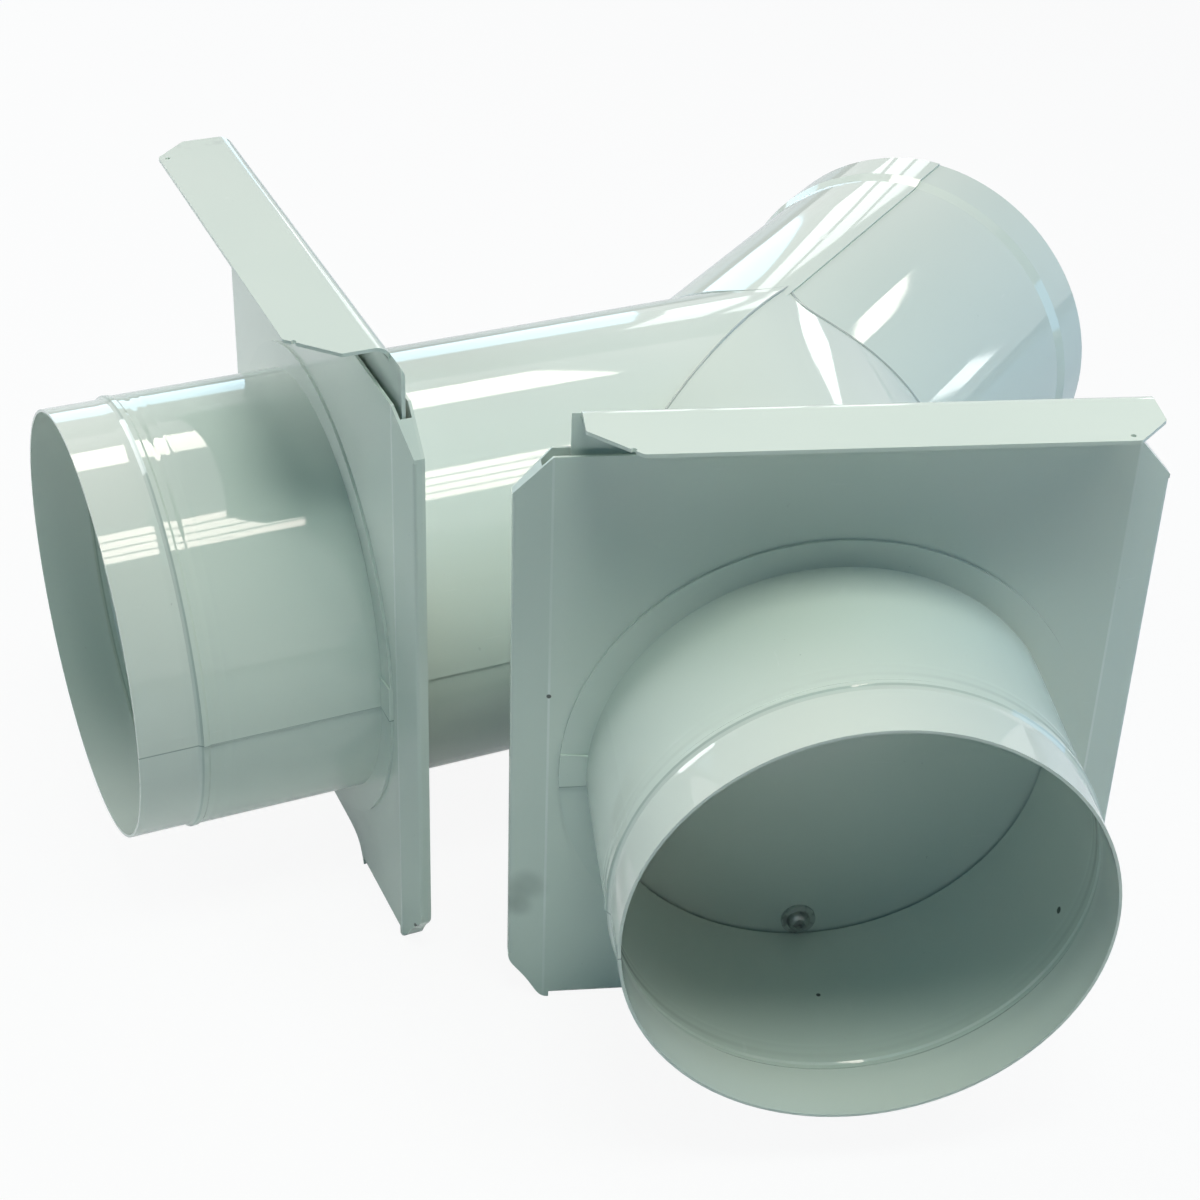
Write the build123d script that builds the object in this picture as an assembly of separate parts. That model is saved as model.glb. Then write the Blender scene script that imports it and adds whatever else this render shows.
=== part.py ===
from build123d import *
from math import cos, degrees, radians, sin, tan
import os

# A sheet-steel duct Y with a slide gate and a short spigot on each branch.
# Millimetres. +Z is up, +Y points out of the trunk, and the origin is the centre of the
# trunk's open end. Each gate is drawn in its own frame: X across, Y up, Z out of the
# spigot, with Z = 0 on the outer face of the front panel. Its pieces are drawn with the
# crotch of the Y on the +X side, as on the left gate, and mirrored for the right gate.

# Pipes
branch_radius = 100.0
trunk_radius = 97.5
pipe_wall = 1.25
half_angle = 36.25
trunk_length = 212.0
overrun = 60.0
tip_trim = 0.5

# Lap seams of the rolled pipes, as angles from the top
lap_height = 0.8
lap_spread = 25.0
seam_gap_width = 0.5
seam_gap_depth = 0.4
trunk_lap_angle = 2.5
branch_lap_angle = 88.5
spigot_lap_angle = 93.5

# Socket at the trunk's end
socket_radius = 99.75
socket_length = 25.5
socket_step = 5.5

# Spigots
spigot_length = 110.0
male_radius = 99.2
male_length = 26.0
bead_height = 0.6
bead_width = 5.0
bead_rise = 1.0
bead_crown = 2.0
collar_width = 12.3
collar_thickness = 1.25
collar_lap_arc = 9.0
collar_lap_height = 0.8

# Gate casing
sheet = 1.3
blade_air = 2.3
side_margin = 17.0
top_margin = 54.0
bottom_margin = 27.0
lip_width = 15.5
lip_setback = 4.15
lip_bend_radius = 6.0
skirt_bend_radius = 1.8
bottom_bend_radius = 5.0
top_chamfer_height = 18.2
gate_clearance = 25.6
corner_rise = 23.0
corner_run = 18.0
notch_half_width = 62.0
notch_height = 12.5
notch_run = 22.0
corner_curve = ((0.28, 0.42), (0.61, 0.78))
notch_curve = (0.2, 0.62)
hole_clearance = 0.3
tab_clearance = 0.8

# Blade and its handle
blade_sheet = 1.6
blade_foot = 12.0
blade_outer_reach = 17.6
blade_crotch_reach = 20.5
blade_corner_radius = 5.0
handle_rise = 20.6
handle_reach = 38.0
handle_bend_radius = 8.0
handle_crotch_cut = 14.0
handle_corner_radius = 2.0
shoulder_drop = 7.5
neck_cut = 10.5
neck_depth = 6.0
crotch_chamfer_across = 20.0
crotch_chamfer_deep = 18.5
outer_chamfer_across = 14.0
outer_chamfer_deep = 15.0
hang_hole_radius = 1.1
hang_hole_edge = 3.7
hang_hole_inset = 16.5

# Stop screw, washer and nut
screw_offset = 2.5
screw_radius = 3.0
screw_head_radius = 5.25
screw_head_height = 3.3
screw_rim_height = 0.5
screw_crown_radius = 2.9
screw_dome_out = 0.25
screw_dome_up = 0.45
screw_socket = 4.0
screw_socket_depth = 1.9
screw_tail = 1.0
washer_radius = 7.75
washer_thickness = 1.6
nut_width = 10.0
nut_thickness = 5.0
thread_play = 0.1
screw_hole_play = 0.3
stop_clearance = 0.3

# Guides and running clearances
seal_gap = 1.1
guide_slack = 0.3
guide_play = 0.4
guide_grip = 10.0
guide_web = 3.0
guide_bend_gap = 1.0
guide_lip_gap = 0.3
guide_foot_rise = 17.0
guide_top_drop = 24.0

# Places that follow from the sizes
lap_root = 0.9 * pipe_wall
bore_radius = branch_radius - pipe_wall
hole_radius = branch_radius + lap_height + hole_clearance
collar_radius = branch_radius + collar_width
blade_front = -(sheet + blade_air)
blade_back = blade_front - blade_sheet
back_face = blade_back - blade_air
back_outside = back_face - sheet
front_tube_end = blade_front + seal_gap
back_tube_end = blade_back - seal_gap
flat_half = branch_radius + side_margin
lip_half = flat_half + lip_width
gate_top = branch_radius + top_margin
gate_bottom = -(branch_radius + bottom_margin)
blade_bottom = -(branch_radius + blade_foot)
blade_top = gate_top + handle_rise
blade_crotch = branch_radius + blade_crotch_reach
blade_outer = branch_radius + blade_outer_reach
handle_front = blade_front + handle_reach
handle_crotch = blade_crotch - handle_crotch_cut
stop_height = bore_radius - washer_radius - stop_clearance
washer_front = blade_front + washer_thickness
spread_angle = radians(half_angle)
gate_distance = (lip_half * cos(spread_angle) + gate_clearance) / sin(spread_angle)
junction = Vector(0, -trunk_length, 0)
far = 1000.0
upright = (Align.CENTER, Align.CENTER, Align.MIN)

sides = {"left": -1, "right": 1}


def save(node, shape):
    export_step(shape, "parts/" + node + ".step")


def branch_frame(side):
    """Frame at the junction: X across the branch, Y up, Z along it."""
    across = Vector(cos(spread_angle), side * sin(spread_angle), 0)
    outward = Vector(side * sin(spread_angle), -cos(spread_angle), 0)
    return Plane(origin=junction, x_dir=across, z_dir=outward).location


def on_gate(shape, side):
    """A gate's piece, turned to its own hand and put in its place."""
    handed = mirror(shape, Plane.YZ) if side > 0 else shape
    return branch_frame(side) * Pos(0, 0, gate_distance) * handed


def bar(radius, start, end):
    return Pos(0, 0, start) * Cylinder(radius, end - start, align=upright)


# Rolled sheet pipes: the outline is a list of (outer radius, place along the axis)

def ring_face(outline, inward, outward):
    outer = [(r + outward, z) for r, z in outline]
    inner = [(r - inward, z) for r, z in reversed(outline)]
    return Plane.XZ * make_face(Polyline(*outer, *inner, close=True))


def lap_band(outline, edge_angle, direction):
    """The outer edge of the rolled sheet: it stands proud at edge_angle, and its height
    dies away over lap_spread because the band is turned about a shifted axis."""
    shift = lap_height / sin(radians(lap_spread))
    shift_angle = radians(edge_angle + direction * (lap_spread - 90))
    edge_turn = degrees(lap_height / tan(radians(lap_spread)) / branch_radius)
    start = edge_angle + direction * edge_turn
    if direction < 0:
        start -= lap_spread
    band = revolve(ring_face(outline, lap_root, 0), Axis.Z, lap_spread)
    return Pos(shift * cos(shift_angle), shift * sin(shift_angle), 0) * Rot(0, 0, start) * band


def seam_groove(outline, edge_angle, direction):
    """The fine open line at the foot of a lap."""
    arc = degrees(seam_gap_width / branch_radius)
    start = edge_angle - arc if direction > 0 else edge_angle
    groove = revolve(ring_face(outline, seam_gap_depth, seam_gap_depth), Axis.Z, arc)
    return Rot(0, 0, start) * groove


def trunk_outline():
    shoulder = trunk_length - socket_length
    return [
        (trunk_radius, 0),
        (trunk_radius, shoulder - socket_step),
        (socket_radius, shoulder),
        (socket_radius, trunk_length),
    ]


trunk_frame = Plane(origin=junction, x_dir=(1, 0, 0), z_dir=(0, 1, 0)).location
trunk_edge = trunk_lap_angle - 90
trunk_lap = trunk_frame * lap_band(trunk_outline(), trunk_edge, -1)
trunk_groove = trunk_frame * seam_groove(trunk_outline(), trunk_edge, -1)
trunk_tube = trunk_frame * revolve(ring_face(trunk_outline(), pipe_wall, 0), Axis.Z)
trunk_core = trunk_frame * bar(trunk_radius, 0, trunk_length)


def half_space(side):
    return Pos(side * far / 2, 0, 0) * Box(far, 2 * far, 2 * far)


def branch_bore(side):
    bore = branch_frame(side) * bar(bore_radius, -overrun, gate_distance + far)
    return bore & half_space(side)


def branch_pipe(side):
    """Branch pipe mitred to the other branch, laid on the trunk with its sharp tips
    trimmed, with a collar at its end."""
    outline = [(branch_radius, -overrun), (branch_radius, gate_distance + back_tube_end)]
    edge = 90 + side * branch_lap_angle
    wall = revolve(ring_face(outline, pipe_wall, 0), Axis.Z)
    pipe = wall + lap_band(outline, edge, -side) - seam_groove(outline, edge, -side)
    collar = bar(collar_radius, -collar_thickness, 0) - bar(bore_radius, -collar_thickness, 0)
    pipe += Pos(0, 0, gate_distance + back_outside) * collar
    pipe = (branch_frame(side) * pipe & half_space(side)) - trunk_core - trunk_lap
    tip_end = pipe.bounding_box().max.Y - tip_trim
    return pipe - Pos(0, tip_end + far / 2, 0) * Box(far, far, far)


def trunk_pipe():
    """Trunk from the junction to its socket, cut where it meets the branches' bores."""
    pipe = trunk_tube + trunk_lap - trunk_groove
    for side in sides.values():
        pipe -= branch_bore(side)
    return pipe


# Gate casing

def bent_sheet(points, radii, thickness):
    """Section of a folded sheet: the points run along its outer face, the sheet on
    their right."""
    path = FilletPolyline(*points, radius=radii)
    return make_face(path.wire().offset_2d(thickness, side=Side.RIGHT, closed=True))


def casing_face():
    """The outline that the front and back panels share."""
    corner_top = gate_bottom + corner_rise
    corner_end = lip_half - corner_run
    notch_top = gate_bottom + notch_height
    notch_flat = notch_half_width - notch_run
    edge = Polyline(
        (0, gate_top),
        (flat_half, gate_top),
        (lip_half, gate_top - top_chamfer_height),
        (lip_half, corner_top),
    )
    corner = Spline(
        (lip_half, corner_top),
        *[(lip_half - x * corner_run, corner_top - y * corner_rise) for x, y in corner_curve],
        (corner_end, gate_bottom),
        tangents=[(0, -1), (-1, 0)],
    )
    foot = Line((corner_end, gate_bottom), (notch_half_width, gate_bottom))
    notch_x, notch_y = notch_curve
    notch = Spline(
        (notch_half_width, gate_bottom),
        (notch_half_width - notch_x * notch_run, gate_bottom + notch_y * notch_height),
        (notch_flat, notch_top),
        tangents=[(-0.4, 1), (-1, 0)],
    )
    middle = Polyline((notch_flat, notch_top), (0, notch_top), (0, gate_top))
    half = make_face([edge, corner, foot, notch, middle])
    return half + mirror(half, Plane.YZ)


def end_tab(casing, reach):
    """Strip that closes the chamfered corner between the lip and the back panel, clear
    of the blade's edge at reach."""
    slope = top_chamfer_height / lip_width
    start = reach + tab_clearance
    start_height = gate_top - slope * (start - flat_half)
    end_height = gate_top - top_chamfer_height
    depth = sheet * (1 + slope**2) ** 0.5
    strip = Polyline(
        (start, start_height),
        (lip_half, end_height),
        (lip_half, end_height - depth),
        (start, start_height - depth),
        close=True,
    )
    return casing & (Pos(0, 0, back_face) * extrude(make_face(strip), -back_face))


def foot_corner(casing):
    """Strip that follows the rounded corner at the foot."""
    outline = Pos(0, 0, back_face) * extrude(casing_face(), -back_face)
    rim = (outline - Pos(-sheet, sheet, 0) * outline) & casing
    corner = Pos(lip_half - corner_run / 2, gate_bottom + corner_rise / 2, back_face / 2)
    return rim & (corner * Box(corner_run, corner_rise, -2 * back_face))


def front_panel():
    """Folded panel: sloping lips and skirts at the sides, flanges at the foot, and strips
    that close its corners."""
    side_points = [
        (-lip_half, back_face),
        (-lip_half, -lip_setback),
        (-flat_half, 0),
        (flat_half, 0),
        (lip_half, -lip_setback),
        (lip_half, back_face),
    ]
    side_radii = [skirt_bend_radius, lip_bend_radius, lip_bend_radius, skirt_bend_radius]
    height = gate_top - gate_bottom
    folded = extrude(Plane.XZ * bent_sheet(side_points, side_radii, sheet), -height)
    folded = Pos(0, gate_bottom, 0) * folded
    panel = folded & (Pos(0, 0, back_face) * extrude(casing_face(), -back_face))
    flange_top = gate_bottom + bottom_bend_radius + sheet
    flange_points = [(gate_bottom, back_face), (gate_bottom, 0), (flange_top, 0)]
    flange_section = bent_sheet(flange_points, [bottom_bend_radius], sheet)
    flange_length = lip_half - corner_run - notch_half_width
    flange = Pos(notch_half_width, 0, 0) * extrude(Plane.YZ * flange_section, flange_length)
    clear_height = 2 * (flange_top - gate_bottom)
    clear_depth = 4 * lip_setback
    clear = Box(flange_length, clear_height, clear_depth)
    clear = Pos(notch_half_width + flange_length / 2, gate_bottom, 0) * clear
    for piece, hole in ((flange, clear), (mirror(flange, Plane.YZ), mirror(clear, Plane.YZ))):
        panel = panel - hole + piece
    casing = extrude(Plane.XZ * make_face(Polyline(*side_points, close=True)), -height)
    casing = Pos(0, gate_bottom, 0) * casing
    corner = foot_corner(casing)
    panel += corner + mirror(corner, Plane.YZ)
    panel += end_tab(casing, blade_crotch) + mirror(end_tab(casing, blade_outer), Plane.YZ)
    return panel - bar(hole_radius, back_face, far)


def back_panel():
    plate = Pos(0, 0, back_outside) * extrude(casing_face(), sheet)
    return plate - bar(hole_radius, back_outside, far)


def guide(edge):
    """Grooved strip between the panels that holds one side edge of the blade."""
    wall = edge + guide_play
    outer = wall + guide_web
    lip_slope = lip_setback / lip_width
    lip_inside = -sheet * (1 + lip_slope**2) ** 0.5 - lip_slope * (outer - flat_half)
    inner = flat_half - guide_grip
    strip = Polyline(
        (inner, -sheet),
        (flat_half - guide_bend_gap, -sheet),
        (outer, lip_inside - guide_lip_gap),
        (outer, back_face),
        (inner, back_face),
        close=True,
    )
    groove = Polyline(
        (inner, blade_front + guide_slack),
        (wall, blade_front + guide_slack),
        (wall, blade_back - guide_slack),
        (inner, blade_back - guide_slack),
        close=True,
    )
    section = make_face(strip) - make_face(groove)
    start = gate_bottom + guide_foot_rise
    end = gate_top - guide_top_drop
    return Pos(0, start, 0) * extrude(Plane.XZ * section, start - end)


# Spigots

def spigot():
    """Outlet tube: collar on the front panel, lap seam, bead and reduced end."""
    bead_start = spigot_length - male_length - bead_width
    outline = [
        (branch_radius, front_tube_end),
        (branch_radius, bead_start),
        (branch_radius + bead_height, bead_start + bead_rise),
        (branch_radius + bead_height, bead_start + bead_rise + bead_crown),
        (male_radius, spigot_length - male_length),
        (male_radius, spigot_length),
    ]
    edge = 90 - spigot_lap_angle
    wall = revolve(ring_face(outline, pipe_wall, 0), Axis.Z)
    body = outline[:-2]
    tube = wall + lap_band(body, edge, 1) - seam_groove(body, edge, 1)
    collar_outline = [(collar_radius, 0), (collar_radius, collar_thickness)]
    collar = revolve(ring_face(collar_outline, collar_radius - bore_radius, 0), Axis.Z)
    lap_outline = [(collar_radius, 0), (collar_radius, collar_thickness + collar_lap_height)]
    lap = revolve(ring_face(lap_outline, collar_width, 0), Axis.Z, collar_lap_arc)
    return tube + collar + Rot(0, 0, edge) * lap


# Blades

def blade_face(shouldered):
    """Front view of a blade: a rounded shoulder beside the handle, or a narrower neck."""
    if shouldered:
        rise = Line((blade_crotch, blade_bottom), (blade_crotch, blade_top - shoulder_drop))
        turn = Spline(
            (blade_crotch, blade_top - shoulder_drop),
            (handle_crotch, blade_top),
            tangents=[(0, 1), (-1, 0.05)],
        )
        top = Line((handle_crotch, blade_top), (-blade_outer, blade_top))
        edges = [rise, turn, top]
    else:
        neck = gate_top - neck_depth
        edges = [
            Polyline(
                (blade_crotch, blade_bottom),
                (blade_crotch, neck),
                (blade_crotch - neck_cut, neck),
                (blade_crotch - neck_cut, blade_top),
                (-blade_outer, blade_top),
            )
        ]
    foot = Polyline(
        (-blade_outer, blade_top), (-blade_outer, blade_bottom), (blade_crotch, blade_bottom)
    )
    return make_face([*edges, foot])


def handle_face():
    """Top view of a blade: the handle with its two cut corners, over the blade's edge."""
    points = [
        (-blade_outer, blade_back),
        (-blade_outer, handle_front - outer_chamfer_deep),
        (-blade_outer + outer_chamfer_across, handle_front),
        (handle_crotch - crotch_chamfer_across, handle_front),
        (handle_crotch, handle_front - crotch_chamfer_deep),
        (handle_crotch, blade_front),
        (blade_crotch, blade_front),
        (blade_crotch, blade_back),
    ]
    face = make_face(Polyline(*points, close=True))
    corners = [v for v in face.vertices() if v.Y > blade_front + handle_corner_radius]
    return fillet(corners, handle_corner_radius)


def blade(shouldered):
    """Sliding sheet with its handle folded forward at the top."""
    points = [(blade_top, handle_front), (blade_top, blade_back), (blade_bottom, blade_back)]
    section = bent_sheet(points, [handle_bend_radius], blade_sheet)
    folded = Pos(-blade_outer, 0, 0) * extrude(Plane.YZ * section, blade_outer + blade_crotch)
    front_view = Pos(0, 0, blade_back) * extrude(blade_face(shouldered), handle_reach + blade_sheet)
    top_view = Pos(0, blade_bottom, 0) * extrude(Plane.XZ * handle_face(), blade_bottom - blade_top)
    body = folded & front_view & top_view
    feet = body.edges().filter_by(Axis.Z).group_by(Axis.Y)[0]
    body = fillet(feet, blade_corner_radius)
    hole_depth = handle_front - hang_hole_edge
    drill_length = 4 * blade_sheet
    for across in (-blade_outer + hang_hole_inset, handle_crotch - hang_hole_inset):
        drill = Cylinder(hang_hole_radius, drill_length, rotation=(90, 0, 0))
        body -= Pos(across, blade_top, hole_depth) * drill
    screw_hole = Cylinder(screw_radius + screw_hole_play, drill_length)
    return body - Pos(screw_offset, -stop_height, blade_front) * screw_hole


# Stop screw, washer and nut, which limit the blade's travel inside the bore

def stop_screw():
    """Button-head screw with a hexagon socket."""
    dome = ThreePointArc(
        (screw_head_radius, screw_rim_height),
        (
            (screw_head_radius + screw_crown_radius) / 2 + screw_dome_out,
            (screw_rim_height + screw_head_height) / 2 + screw_dome_up,
        ),
        (screw_crown_radius, screw_head_height),
    )
    rest = Polyline(
        (screw_crown_radius, screw_head_height),
        (0, screw_head_height),
        (0, 0),
        (screw_head_radius, 0),
        (screw_head_radius, screw_rim_height),
    )
    head = revolve(Plane.XZ * make_face([dome, rest]), Axis.Z)
    socket = extrude(RegularPolygon(screw_socket / 2, 6, major_radius=False), screw_socket_depth)
    head -= Pos(0, 0, screw_head_height - screw_socket_depth) * socket
    shank_length = washer_thickness + blade_sheet + nut_thickness + screw_tail
    shank = bar(screw_radius, -shank_length, 0)
    return Pos(screw_offset, -stop_height, washer_front) * (head + shank)


def stop_washer():
    ring = bar(washer_radius, 0, washer_thickness)
    ring -= bar(screw_radius + screw_hole_play, 0, washer_thickness)
    return Pos(screw_offset, -stop_height, blade_front) * ring


def stop_nut():
    body = extrude(RegularPolygon(nut_width / 2, 6, major_radius=False), nut_thickness)
    body -= bar(screw_radius + thread_play, 0, nut_thickness)
    return Pos(screw_offset, -stop_height, blade_back - nut_thickness) * body


if __name__ == "__main__":
    os.makedirs("parts", exist_ok=True)
    save("trunk_pipe", trunk_pipe())
    shared = {
        "front_panel": front_panel(),
        "back_panel": back_panel(),
        "spigot": spigot(),
        "inner_guide": guide(blade_crotch),
        "outer_guide": mirror(guide(blade_outer), Plane.YZ),
        "stop_screw": stop_screw(),
        "stop_washer": stop_washer(),
        "stop_nut": stop_nut(),
    }
    for name, side in sides.items():
        save(name + "_branch_pipe", branch_pipe(side))
        save(name + "_blade", on_gate(blade(side < 0), side))
        for node, shape in shared.items():
            save(name + "_" + node, on_gate(shape, side))
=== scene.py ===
from math import cos, pi, radians, sin, sqrt

import bpy
from mathutils import Matrix, Vector


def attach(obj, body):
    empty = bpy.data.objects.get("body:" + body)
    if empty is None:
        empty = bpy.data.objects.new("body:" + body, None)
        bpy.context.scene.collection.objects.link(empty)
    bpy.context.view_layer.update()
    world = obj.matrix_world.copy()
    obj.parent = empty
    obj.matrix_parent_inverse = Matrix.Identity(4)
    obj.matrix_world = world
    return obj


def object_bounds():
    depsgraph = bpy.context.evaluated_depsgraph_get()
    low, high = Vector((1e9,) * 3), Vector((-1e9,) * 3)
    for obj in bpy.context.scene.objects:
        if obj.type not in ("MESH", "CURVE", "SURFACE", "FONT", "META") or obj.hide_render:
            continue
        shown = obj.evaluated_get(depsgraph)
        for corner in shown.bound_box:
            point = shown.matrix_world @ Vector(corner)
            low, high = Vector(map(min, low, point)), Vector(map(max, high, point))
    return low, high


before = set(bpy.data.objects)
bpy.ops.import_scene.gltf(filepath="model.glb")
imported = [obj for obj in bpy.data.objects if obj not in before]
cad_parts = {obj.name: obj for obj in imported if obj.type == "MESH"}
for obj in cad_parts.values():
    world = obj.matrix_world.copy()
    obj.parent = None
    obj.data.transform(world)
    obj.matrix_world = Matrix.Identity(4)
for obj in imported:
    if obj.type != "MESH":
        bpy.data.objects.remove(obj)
cad_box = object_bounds()


# Trunk and branch pipes.
# Three tubes rolled from thin sheet steel, each closed by a lap seam, mitred and welded where
# they meet. They are powder coated in a pale grey-green gloss, baked on after folding: it
# flows into a slow ripple and a fine orange peel, and has faint scuffs, dust and specks.

class Wire:
    """A socket's value, to be used in an expression."""

    def __init__(self, bench, socket):
        self.bench = bench
        self.socket = socket

    def other(self, output):
        """Another output of the same node."""
        return Wire(self.bench, self.socket.node.outputs[output])

    def math(self, operation, *values):
        """A Math node of one kind."""
        return self.bench.node("ShaderNodeMath", {"operation": operation}, *values)

    def __add__(self, value):
        return self.math("ADD", self, value)

    __radd__ = __add__

    def __sub__(self, value):
        return self.math("SUBTRACT", self, value)

    def __rsub__(self, value):
        return self.math("SUBTRACT", value, self)

    def __mul__(self, value):
        return self.math("MULTIPLY", self, value)

    __rmul__ = __mul__

    def __abs__(self):
        return self.math("ABSOLUTE", self)

    def above(self, edge, blend):
        """0 below edge, rising to 1 over blend."""
        return self.bench.node(
            "ShaderNodeMapRange", {"interpolation_type": "SMOOTHSTEP"},
            self, edge, edge + blend, 0.0, 1.0,
        )

    def below(self, edge, blend):
        """1 below edge, falling to 0 over blend."""
        return 1 - self.above(edge, blend)


class Bench:
    """A node tree under construction."""

    def __init__(self, tree):
        self.tree = tree
        self.tree.nodes.clear()

    def node(self, kind, settings, *values, **named):
        """Adds a node: its settings first, then its sockets in their order or by name."""
        made = self.tree.nodes.new(kind)
        for key, value in settings.items():
            setattr(made, key, value)
        pairs = list(zip(made.inputs, values))
        pairs += [(made.inputs[key.replace("_", " ")], value) for key, value in named.items()]
        for socket, value in pairs:
            if isinstance(value, Wire):
                self.tree.links.new(value.socket, socket)
            elif value is not None:
                socket.default_value = (*value, 1.0) if socket.type == "RGBA" else value
        shown = [o for o in made.outputs if o.enabled]
        return Wire(self, shown[0] if shown else None)


class Finish(Bench):
    """A material that follows the piece's own coordinates."""

    def __init__(self, name):
        self.material = bpy.data.materials.new(name)
        self.material.use_nodes = True
        super().__init__(self.material.node_tree)
        self.place = self.node("ShaderNodeTexCoord", {}).other("Object")

    def stretch(self, scale, shift=(0, 0, 0)):
        """Coordinates for a pattern that is drawn out or moved."""
        return self.node(
            "ShaderNodeMapping", {}, Vector=self.place, Scale=scale, Location=shift
        )

    def noise(self, scale, detail, where):
        """Noise of a scale, in cells to the metre, with finer detail in it."""
        return self.node("ShaderNodeTexNoise", {}, Vector=where, Scale=scale, Detail=detail)

    def mix(self, factor, first, second):
        """Two colours mixed; the node's number and vector inputs in between stay unused."""
        unused = [None] * 5
        made = self.node("ShaderNodeMix", {"data_type": "RGBA"}, factor, *unused, first, second)
        return made.other(2)

    def spot(self, centre, radius, soft):
        """A round mark on the surface, with a soft edge."""
        offset = self.node("ShaderNodeVectorMath", {"operation": "DISTANCE"}, self.place, centre)
        return offset.other("Value").below(radius, soft)

    def finish(self, height, strength, distance, **sockets):
        """Closes the material with its relief and its surface."""
        relief = self.node(
            "ShaderNodeBump", {}, Strength=strength, Distance=distance, Height=height
        )
        shader = self.node("ShaderNodeBsdfPrincipled", {}, Normal=relief, **sockets)
        self.node("ShaderNodeOutputMaterial", {}, Surface=shader)
        return self.material


coat_tone = (0.700, 0.760, 0.690)
coat_shade = (0.660, 0.730, 0.665)
scuff_tone = (0.86, 0.89, 0.86)
dust_tone = (0.30, 0.33, 0.30)
chip_tone = (0.05, 0.055, 0.05)
rub_tone = (0.42, 0.44, 0.42)


def powder_coat(
    name, shift, marks=(), chips=(), rub=None, lines=None, relief=None,
    tone=coat_tone, shade=coat_shade,
):
    """Gloss coat in a tone that drifts to a shade, with the piece's own marks and its lines of
    painted light and shade.
    """
    coat = Finish(name)
    here = coat.stretch((1, 1, 1), shift)
    drift = coat.noise(5.0, 2.0, here)
    cloud = coat.noise(38.0, 4.0, here)
    streaks = coat.noise(60.0, 2.0, coat.stretch((1.0, 1.0, 14.0), shift))
    grain = coat.noise(420.0, 2.0, here)
    peel = coat.noise(300.0, 2.0, here)
    ripple = coat.noise(11.0, 1.0, here)
    scuff = streaks.above(0.67, 0.04) * cloud.above(0.55, 0.15)
    dust = grain.above(0.74, 0.03) * cloud.above(0.5, 0.2)
    colour = coat.mix(drift.above(0.35, 0.3), tone, shade)
    colour = coat.mix(scuff * 0.16, colour, scuff_tone)
    colour = coat.mix(dust * 0.35, colour, dust_tone)
    for centre, radius, soft, strength, stain in marks:
        patch = coat.spot(centre, radius, soft) * cloud.above(0.3, 0.3)
        colour = coat.mix(patch * strength, colour, stain)
    # The lines paint light and shade into the colour: highlights along the casing folds, and on
    # the spigots a paler end, shadow lines and shade below the seam.
    if lines is not None:
        for line, strength, stain in lines(coat):
            colour = coat.mix(line * strength, colour, stain)
    for centre, radius in chips:
        chip = coat.spot(centre, radius, radius * 0.5)
        colour = coat.mix(chip * 0.9, colour, chip_tone)
    roughness = 0.03 + 0.03 * cloud + 0.20 * scuff
    if rub is not None:
        scratches = coat.noise(90.0, 3.0, coat.stretch((1.0, 1.0, 0.1), shift))
        wear_and_highlight_patches = rub(coat) * scratches.above(0.5, 0.15)
        colour = coat.mix(wear_and_highlight_patches * 0.35, colour, rub_tone)
        roughness = roughness + 0.15 * wear_and_highlight_patches
    height = peel * 0.006 + ripple * 0.5
    if relief is not None:
        height = height + relief(coat)
    return coat.finish(
        height, 0.55, 0.001,
        Base_Color=colour, Roughness=roughness, Specular_IOR_Level=0.5, IOR=1.5,
    )


def dress(name, finish):
    """Gives a CAD piece its finish."""
    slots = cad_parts[name].data.materials
    slots.clear()
    slots.append(finish)


pipe_patterns = {
    "trunk_pipe": (0.0, 0.0, 0.0),
    "left_branch_pipe": (0.7, 0.2, 0.1),
    "right_branch_pipe": (1.4, 0.6, 0.3),
}
for pipe, shift in pipe_patterns.items():
    dress(pipe, powder_coat(pipe + "_coat", shift))


# Weld beads.
# A fine weld runs along each line where two pipes meet, and was coated with them. It
# follows the two seams of the trunk and the ridge between the branches.

# Each branch leaves the trunk's line by the spread, from the junction on the y axis.
spread = radians(36.25)
junction = -0.212
trunk_radius = 0.0975
branch_radius = 0.1000
weld_radius = 0.0007


def trunk_seam(side):
    """Where the trunk meets one branch, from the top round to the underside."""
    steps = 90
    line = []
    for i in range(steps + 1):
        turn = pi * i / steps
        x = side * trunk_radius * sin(turn)
        reach = sqrt(x * x + branch_radius**2 - trunk_radius**2)
        y = (reach - abs(x) * cos(spread)) / sin(spread)
        line.append((x, junction + y, trunk_radius * cos(turn)))
    return line


def branch_ridge():
    """The mitre between the branches: along the top, down the crotch and back below."""
    top_steps = 20
    crotch_steps = 160
    corner = sqrt(branch_radius**2 - trunk_radius**2) / sin(spread)
    top = []
    for i in range(top_steps):
        y = corner * (1 - 2 * i / top_steps)
        height = sqrt(branch_radius**2 - (y * sin(spread)) ** 2)
        top.append((0.0, junction + y, height))
    crotch = []
    for i in range(crotch_steps + 1):
        height = trunk_radius - 2 * trunk_radius * i / crotch_steps
        y = -sqrt(branch_radius**2 - height**2) / sin(spread)
        crotch.append((0.0, junction + y, height))
    underside = [(x, y, -height) for x, y, height in reversed(top)]
    return top + crotch + underside


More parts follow.
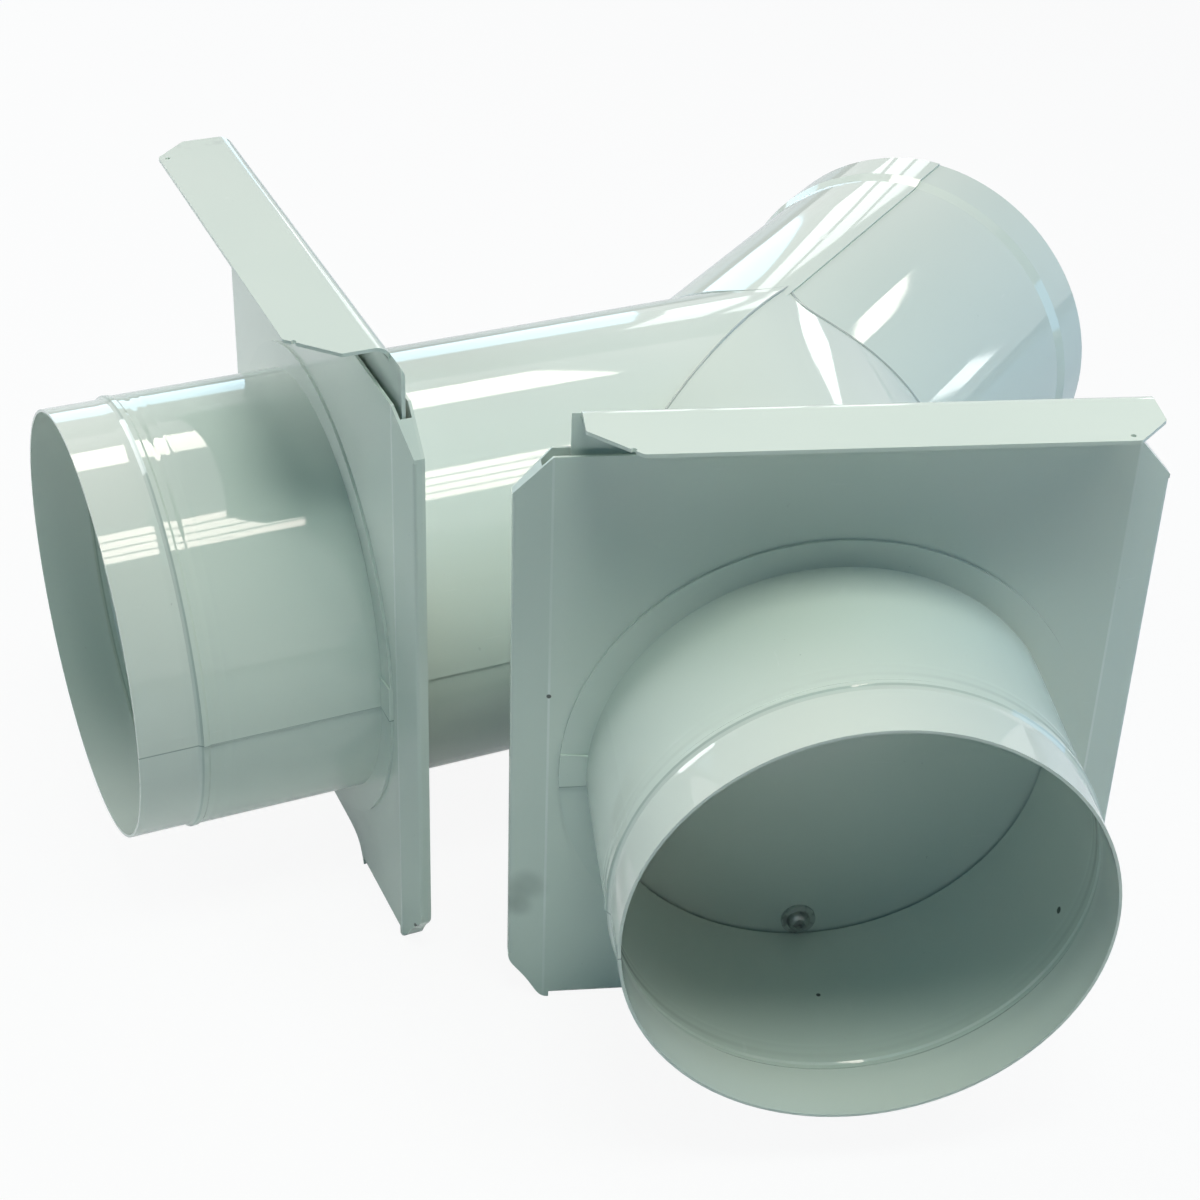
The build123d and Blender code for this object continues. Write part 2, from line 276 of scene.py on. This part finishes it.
def bead_tree():
    """A round bead along a path, a little uneven as a hand-held torch leaves it."""
    tree = bpy.data.node_groups.new("weld_bead", "GeometryNodeTree")
    bench = Bench(tree)
    panel = tree.interface
    panel.new_socket("Geometry", in_out="INPUT", socket_type="NodeSocketGeometry")
    for name, value in (("Bead Radius", 0.0006), ("Spacing", 0.0015), ("Unevenness", 0.25)):
        socket = panel.new_socket(name, in_out="INPUT", socket_type="NodeSocketFloat")
        socket.default_value = value
    panel.new_socket("Coat", in_out="INPUT", socket_type="NodeSocketMaterial")
    panel.new_socket("Geometry", in_out="OUTPUT", socket_type="NodeSocketGeometry")
    given = bench.node("NodeGroupInput", {})
    curve = bench.node("GeometryNodeMeshToCurve", {}, Mesh=given.other("Geometry"))
    even = bench.node(
        "GeometryNodeResampleCurve", {"mode": "LENGTH"},
        Curve=curve, Length=given.other("Spacing"),
    )
    wobble = bench.node("ShaderNodeTexNoise", {}, Scale=260.0)
    size = ((wobble - 0.5) * given.other("Unevenness") + 1.0) * given.other("Bead Radius")
    ring = bench.node("GeometryNodeCurvePrimitiveCircle", {}, Resolution=8, Radius=1.0)
    tube = bench.node(
        "GeometryNodeCurveToMesh", {},
        Curve=even, Profile_Curve=ring, Scale=size, Fill_Caps=True,
    )
    whole = bench.node("GeometryNodeRealizeInstances", {}, Geometry=tube)
    painted = bench.node(
        "GeometryNodeSetMaterial", {}, Geometry=whole, Material=given.other("Coat")
    )
    bench.node("NodeGroupOutput", {}, Geometry=painted)
    return tree


def run_bead(name, lines, radius, coat, body):
    """Makes one mesh of beads along the lines and lets it ride on a body."""
    points = []
    runs = []
    for line in lines:
        first = len(points)
        points += line
        runs += [(first + i, first + i + 1) for i in range(len(line) - 1)]
    path = bpy.data.meshes.new(name + "_path")
    path.from_pydata(points, runs, [])
    bead = bpy.data.objects.new(name, path)
    bpy.context.scene.collection.objects.link(bead)
    modifier = bead.modifiers.new("bead", "NODES")
    modifier.node_group = bead_tree()
    chosen = {"Bead Radius": radius, "Coat": coat}
    for item in modifier.node_group.interface.items_tree:
        if item.item_type == "SOCKET" and item.in_out == "INPUT" and item.name in chosen:
            modifier[item.identifier] = chosen[item.name]
    ready = bead.evaluated_get(bpy.context.evaluated_depsgraph_get())
    solid = bpy.data.meshes.new_from_object(ready)
    bead.modifiers.clear()
    bead.data = solid
    for face in solid.polygons:
        face.use_smooth = True
    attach(bead, body)


weld_coat = powder_coat(
    "weld_coat", (0.2, 0.2, 0.2), tone=(0.40, 0.45, 0.43), shade=(0.30, 0.35, 0.34)
)
weld_lines = [trunk_seam(-1), trunk_seam(1), branch_ridge()]
run_bead("pipe_welds", weld_lines, weld_radius, weld_coat, "duct")


# Gate casings.
# A folded front panel and a flat back panel on each branch, spot welded round the edge.
# The coat is chipped at a bend and smudged near the foot of the right gate, and carries a
# painted highlight along the folds.

sides = {"left": -1, "right": 1}
# How far the middle of a gate's face stands from the junction.
face_distance = 0.224001


def gate_point(side, across, up, out):
    """A place given from the middle of a gate's face, in metres: to the right, up, and out."""
    axis = Vector((side * sin(spread), -cos(spread), 0))
    level = Vector((cos(spread), side * sin(spread), 0))
    height = Vector((0, 0, up))
    return Vector((0, junction, 0)) + axis * (face_distance + out) + level * across + height


def along(coat, direction, start):
    """How far the surface lies from a point, measured in one direction."""
    reach = coat.node("ShaderNodeVectorMath", {"operation": "DOT_PRODUCT"}, coat.place, direction)
    return reach.other("Value") - start.dot(direction)


fold_inner = 0.1162
fold_outer = 0.1172
# Near-white of the highlight painted along the folds, also used for one small speck on the left
# panel.
fold_highlight_white = (0.93, 0.95, 0.93)


def painted_fold_highlights(side):
    """A painted highlight on the two folds where the lips slope away from the panel's face."""
    def drawn(coat):
        middle = gate_point(side, 0, 0, 0)
        level = gate_point(side, 1, 0, 0) - middle
        reach = abs(along(coat, level, middle))
        # Painted highlight: a thin near-white band on each fold, broken into patches by noise.
        fold_highlight_band = reach.above(fold_inner, 0.0005) * reach.below(fold_outer, 0.0005)
        wear_and_highlight_patches = coat.noise(16.0, 3.0, coat.stretch((1.0, 1.0, 0.6))).above(0.38, 0.2)
        return [(fold_highlight_band * (0.35 + 0.65 * wear_and_highlight_patches), 0.55, fold_highlight_white)]
    return drawn


# Each mark has its centre, radius, soft edge, strength and colour, and each chip its centre
# and radius.
smudge = (0.24, 0.29, 0.26)
casing_marks = {
    "left": [
        (gate_point(-1, 0.060, -0.085, 0.0), 0.020, 0.030, 0.10, smudge),
        (gate_point(-1, 0.0954, 0.0942, 0.0), 0.0009, 0.0008, 0.80, fold_highlight_white),
    ],
    "right": [
        (gate_point(1, -0.1325, -0.0709, -0.0074), 0.004, 0.010, 0.35, smudge),
        (gate_point(1, -0.1242, -0.0627, -0.0019), 0.003, 0.008, 0.35, smudge),
        (gate_point(1, -0.1275, -0.0748, -0.0028), 0.002, 0.006, 0.25, smudge),
    ],
}
casing_chips = {
    "left": [(gate_point(-1, 0.128, -0.113, -0.003), 0.0012)],
    "right": [(gate_point(1, -0.117, 0.040, 0.0), 0.0008)],
}
front_patterns = {"left": (0.2, 0.9, 0.0), "right": (0.5, 1.3, 0.2)}
back_patterns = {"left": (0.1, 1.9, 0.5), "right": (1.1, 0.4, 0.7)}
for hand, side in sides.items():
    front = hand + "_front_panel"
    back = hand + "_back_panel"
    front_coat = powder_coat(
        front + "_coat", front_patterns[hand],
        marks=casing_marks[hand], chips=casing_chips[hand], lines=painted_fold_highlights(side),
    )
    dress(front, front_coat)
    dress(back, powder_coat(back + "_coat", back_patterns[hand]))


# Guides.
# Black plastic strips that lie between the panels, grooved for the blade's edges.

guide_tone = (0.045, 0.048, 0.050)
guide_bloom = (0.080, 0.085, 0.085)


def guide_plastic(name, shift):
    """Black plastic with a greyish bloom."""
    plastic = Finish(name)
    here = plastic.stretch((1, 1, 1), shift)
    bloom = plastic.noise(45.0, 3.0, here)
    colour = plastic.mix(bloom.above(0.4, 0.3), guide_tone, guide_bloom)
    height = plastic.noise(700.0, 2.0, here)
    return plastic.finish(
        height, 0.3, 0.0003, Base_Color=colour, Roughness=0.45 + 0.15 * bloom, IOR=1.49
    )


guide_patterns = {"inner": (0.1, 0.0, 0.0), "outer": (0.6, 0.1, 0.0)}
for hand in sides:
    for place, shift in guide_patterns.items():
        guide = f"{hand}_{place}_guide"
        dress(guide, guide_plastic(guide + "_plastic", shift))


# Spigots.
# A short rolled tube with its collar turned out against the front panel and welded to it,
# a bead, and a reduced end for the next duct. Its coat carries painted light and shade: a
# fine shadow along the lap seam up to the rim, shade below the seam on the crotch side, a
# shadow line at the bead and a paler end beyond it. The sheet is drawn in softly on both
# sides of the bead.

seam_height = -0.0061
seam_width = 0.0006
# Distances along the spigot, out from the gate's face.
dip_start = 0.0675
dip_end = 0.0690
swell_start = 0.0735
swell_end = 0.0815
ring_start = 0.0818
ring_end = 0.0826
rim_start = 0.0828


def spigot_light_and_shade(side):
    """Painted light and shade: a paler end, a shadow line at the bead, the seam's shadow and
    shade below it.
    """
    def drawn(coat):
        middle = gate_point(side, 0, 0, 0)
        height = coat.node("ShaderNodeSeparateXYZ", {}, coat.place).other("Z")
        out = along(coat, gate_point(side, 0, 0, 1) - middle, middle)
        crotch = along(coat, gate_point(side, -side, 0, 0) - middle, middle).above(0.08, 0.002)
        # Painted light: the end beyond the bead is made paler.
        painted_rim_light = out.above(rim_start, 0.0008)
        # Painted shade: a bluish darker tint on the crotch side below the lap seam.
        under = crotch * height.above(-0.05, 0.04) * height.below(seam_height, 0.0006)
        # Painted shadow: a fine dark line at the bead.
        ring = out.above(ring_start, 0.0004) * out.below(ring_end, 0.0004)
        # Painted shadow: a fine dark line along the lap seam on the crotch side.
        seam = crotch * height.above(seam_height - seam_width, 0.0003)
        seam = seam * height.below(seam_height, 0.0003)
        return [
            (painted_rim_light, 0.25, (0.86, 0.84, 0.80)),
            (under, 0.10, (0.42, 0.53, 0.53)),
            (ring, 0.40, (0.30, 0.38, 0.34)),
            (seam, 0.75, (0.20, 0.27, 0.24)),
        ]
    return drawn


def spigot_relief(side):
    """Soft slopes before and behind the bead."""
    def raised(coat):
        middle = gate_point(side, 0, 0, 0)
        out = along(coat, gate_point(side, 0, 0, 1) - middle, middle)
        swell = out.above(swell_start, 0.0035) * out.below(swell_end, 0.0065)
        dip = out.above(dip_start, 0.0025) * out.below(dip_end, 0.0030)
        return swell * 0.7 - dip * 0.2
    return raised


inner_specks = {
    "left": [],
    "right": [
        (gate_point(1, 0.0924, -0.0349, 0.062), 0.0012),
        (gate_point(1, 0.0, -0.0988, 0.038), 0.0008),
    ],
}
spigot_patterns = {"left": (0.3, 0.1, 0.9), "right": (0.8, 0.7, 0.4)}
for hand, side in sides.items():
    spigot = hand + "_spigot"
    spigot_coat = powder_coat(
        spigot + "_coat", spigot_patterns[hand],
        chips=inner_specks[hand], lines=spigot_light_and_shade(side), relief=spigot_relief(side),
    )
    dress(spigot, spigot_coat)


# Blades.
# The sliding sheets of the gates, folded forward at the top as handles. They are coated like
# the casing, and rubbed along the edges that run in the guides.

rub_start = 0.107


def edge_rub(side):
    """Where a blade's two upright edges are rubbed."""
    def rubbed(coat):
        middle = gate_point(side, 0, 0, 0)
        level = gate_point(side, 1, 0, 0) - middle
        return abs(along(coat, level, middle)).above(rub_start, 0.004)
    return rubbed


blade_patterns = {"left": (0.4, 0.2, 1.1), "right": (1.0, 0.3, 0.2)}
for hand, side in sides.items():
    blade = hand + "_blade"
    dress(blade, powder_coat(blade + "_coat", blade_patterns[hand], rub=edge_rub(side)))


# Stop screws, washers and nuts.
# Plain steel fasteners through the blades, coated together with them and stained darker in
# patches.

def coated_steel(name, tone):
    """Thinly coated steel, with patches of a darker tone."""
    steel = Finish(name)
    here = steel.stretch((1, 1, 1), (0.2, 0.5, 0.1))
    stain = steel.noise(260.0, 3.0, here)
    dark_tone = tuple(0.6 * c for c in tone)
    colour = steel.mix(stain.above(0.45, 0.2), tone, dark_tone)
    height = steel.noise(900.0, 2.0, here)
    return steel.finish(
        height, 0.4, 0.0002,
        Base_Color=colour, Roughness=0.30 + 0.2 * stain, Metallic=0.25,
        Coat_Weight=0.4, Coat_Roughness=0.15,
    )


fastener_tones = {
    "screw": (0.30, 0.34, 0.32),
    "washer": (0.42, 0.47, 0.44),
    "nut": (0.33, 0.35, 0.34),
}
for hand in sides:
    for piece, tone in fastener_tones.items():
        fastener = f"{hand}_stop_{piece}"
        dress(fastener, coated_steel(fastener + "_steel", tone))


# Floor.
# A plain pale sheet just under the feet of the gates, which only catches a soft shadow. The
# camera sees it almost white, and the duct's gloss mirrors it dimmer.

floor_reach = 6.0
floor_height = cad_box[0].z - 0.0003
corners = []
for x, y in ((-1, -1), (1, -1), (1, 1), (-1, 1)):
    corners.append((x * floor_reach, y * floor_reach, floor_height))
floor_mesh = bpy.data.meshes.new("floor")
floor_mesh.from_pydata(corners, [], [(0, 1, 2, 3)])
floor = bpy.data.objects.new("floor", floor_mesh)
bpy.context.scene.collection.objects.link(floor)

ground = bpy.data.materials.new("floor")
ground.use_nodes = True
paint = Bench(ground.node_tree)
ray = paint.node("ShaderNodeLightPath", {})
matt = paint.node("ShaderNodeBsdfDiffuse", {}, Color=(0.80, 0.82, 0.82))
glow = paint.node("ShaderNodeEmission", {}, Color=(1, 1, 1))
share = ray.other("Is Camera Ray") * 0.92 + ray.other("Is Glossy Ray") * 0.35
blend = paint.node("ShaderNodeMixShader", {}, share, matt, glow)
paint.node("ShaderNodeOutputMaterial", {}, Surface=blend)
floor_mesh.materials.append(ground)


# Light.
# A broad ceiling light and a window on the left carry most of it. Cool lamps on the right,
# behind, above and ahead fill the shade, and two that no surface mirrors light the top.

world = bpy.data.worlds.new("room")
bpy.context.scene.world = world
world.use_nodes = True
sky = Bench(world.node_tree)
ray = sky.node("ShaderNodeLightPath", {})
seen = ray.math("MAXIMUM", ray.other("Is Camera Ray"), ray.other("Is Glossy Ray"))
seen = ray.math("MAXIMUM", seen, ray.other("Is Transmission Ray"))
room_fill = sky.node("ShaderNodeBackground", {}, Color=(0.55, 0.80, 0.80), Strength=0.01)
backdrop = sky.node("ShaderNodeBackground", {}, Color=(1, 1, 1), Strength=1.0)
blend = sky.node("ShaderNodeMixShader", {}, seen, room_fill, backdrop)
sky.node("ShaderNodeOutputWorld", {}, Surface=blend)


def area_lamp(name, place, turned, size, power, colour):
    """A flat lamp of a width and a depth, with its power in watts."""
    lamp = bpy.data.lights.new(name, "AREA")
    lamp.shape = "RECTANGLE"
    lamp.size, lamp.size_y = size
    lamp.energy = power
    lamp.color = colour
    holder = bpy.data.objects.new(name, lamp)
    bpy.context.scene.collection.objects.link(holder)
    holder.location = place
    holder.rotation_euler = turned
    return holder


def facing(direction):
    """The turn that lets a lamp shine in a direction."""
    return direction.to_track_quat("-Z", "Y").to_euler()


def soft_light(name, place, aim, size, power, colour):
    """A lamp at a place, turned to the point that it lights."""
    return area_lamp(name, place, facing(Vector(aim) - Vector(place)), size, power, colour)


soft_light("ceiling", (-0.2, 0.3, 1.7), (0, -0.25, 0), (2.4, 2.0), 11.5, (1.0, 0.85, 0.90))
soft_light("left_window", (-2.2, -0.6, 0.9), (0, -0.3, 0), (1.2, 1.2), 27.5, (0.94, 0.97, 1.0))
soft_light("right_window", (1.5, 0.8, 0.5), (0, -0.3, 0), (1.2, 0.8), 9.4, (0.26, 0.60, 1.0))
soft_light("back_window", (-1.6, 1.2, 0.35), (0, -0.3, 0), (1.2, 0.6), 5.0, (0.50, 0.80, 1.0))
soft_light("room_above", (0.15, -0.95, 1.8), (0.15, -0.55, 0), (1.4, 1.0), 1.7, (0.1, 1.0, 0.80))
soft_light("room_ahead", (0.2, -2.3, 0.9), (0.1, -0.4, -0.05), (1.6, 1.0), 2.2, (0.05, 0.60, 1.0))
front_ceiling = soft_light(
    "front_ceiling", (0.42, -0.8, 1.8), (0.2, -0.5, 0), (0.6, 0.5), 11.6, (0.93, 1.0, 0.93)
)
skylight = soft_light(
    "skylight", (0.75, -0.35, 1.2), (-0.1, -0.4, 0), (0.5, 0.5), 4.0, (0.98, 1.0, 0.93)
)
for holder in (front_ceiling, skylight):
    holder.visible_glossy = False


# Bright windows in the roof.
# They stand as warm white patches in the gloss of the spigot, the branch and the trunk, and
# light nothing else. One of them has glazing bars.

def roof_window(name, centre, angle, length, width, glow, colour, panes=1, bar=0.0):
    """A flat window at one height, split across its width into panes by thin bars."""
    pane = (width - bar * (panes - 1)) / panes
    turn = radians(angle)
    across = Vector((-sin(turn), cos(turn), 0))
    for i in range(panes):
        place = Vector(centre) + across * (i - (panes - 1) / 2) * (pane + bar)
        power = glow * length * pane
        holder = area_lamp(f"{name}_{i}", place, (0, 0, turn), (length, pane), power, colour)
        holder.visible_diffuse = False


warm_white = (1.0, 0.92, 0.82)
warmer_white = (1.0, 0.86, 0.78)
roof_window("roof_window", (-0.66, 0.55, 1.5), 54, 0.66, 0.50, 30, warm_white)
roof_window("barred_window", (0.55, -0.46, 1.5), 58, 0.72, 0.46, 36, warmer_white, 4, 0.022)
roof_window("far_window", (0.40, 1.92, 1.45), 0, 0.34, 0.17, 26, warm_white)


# Windows in the far wall.
# They stand low behind the duct, so that only surfaces seen at a flat angle mirror them: the
# top of the trunk, the right branch beside the crotch and the trunk's right side.

window_distance = 3.0
window_white = (0.96, 1.0, 1.0)
glass_share = 0.8


def wall_window(name, mirrored_at, azimuth, elevation, width, height, glow, panes=1):
    """An upright window with upright bars, in a direction from the place that mirrors it."""
    turn = radians(azimuth)
    rise = radians(elevation)
    ahead = Vector((sin(turn) * cos(rise), cos(turn) * cos(rise), sin(rise)))
    across = Vector((cos(turn), -sin(turn), 0))
    pitch = width / panes
    size = (glass_share * pitch, height)
    power = pi * glow * size[0] * size[1]
    for i in range(panes):
        place = Vector(mirrored_at) + ahead * window_distance
        place += across * pitch * (i - (panes - 1) / 2)
        holder = area_lamp(f"{name}_{i}", place, facing(-ahead), size, power, window_white)
        holder.visible_diffuse = False


wall_window("wide_window", (-0.01, -0.10, 0.098), -27, 16, 0.56, 0.70, 2.3, 3)
wall_window("narrow_window", (0.045, -0.22, 0.096), -11.7, 17.3, 0.30, 0.32, 5.0)
wall_window("side_window", (0.081, -0.13, 0.054), 33.3, 5.3, 0.11, 0.26, 6.0)


# Camera.
# It stands where the photograph was taken from, a little to the right and looking down.

camera_place = (0.4478, -1.1542, 0.6265)
turn = radians(29.21)
dip = radians(33.77)
roll = radians(-1.97)
focal_pixels = 2413.2
picture_pixels = 1200
ahead = Vector((-sin(turn) * cos(dip), cos(turn) * cos(dip), -sin(dip)))
level = Vector((cos(turn), sin(turn), 0))
down = ahead.cross(level)
right = level * cos(roll) + down * sin(roll)
up = level * sin(roll) - down * cos(roll)
camera_data = bpy.data.cameras.new("camera")
camera_data.sensor_width = 36.0
camera_data.lens = focal_pixels / picture_pixels * camera_data.sensor_width
camera_data.clip_start = 0.05
camera_data.clip_end = 50.0
camera = bpy.data.objects.new("camera", camera_data)
bpy.context.scene.collection.objects.link(camera)
axes = Matrix((right, up, -ahead)).transposed().to_4x4()
camera.matrix_world = Matrix.Translation(camera_place) @ axes
bpy.context.scene.camera = camera
bpy.context.scene.view_settings.view_transform = "Standard"
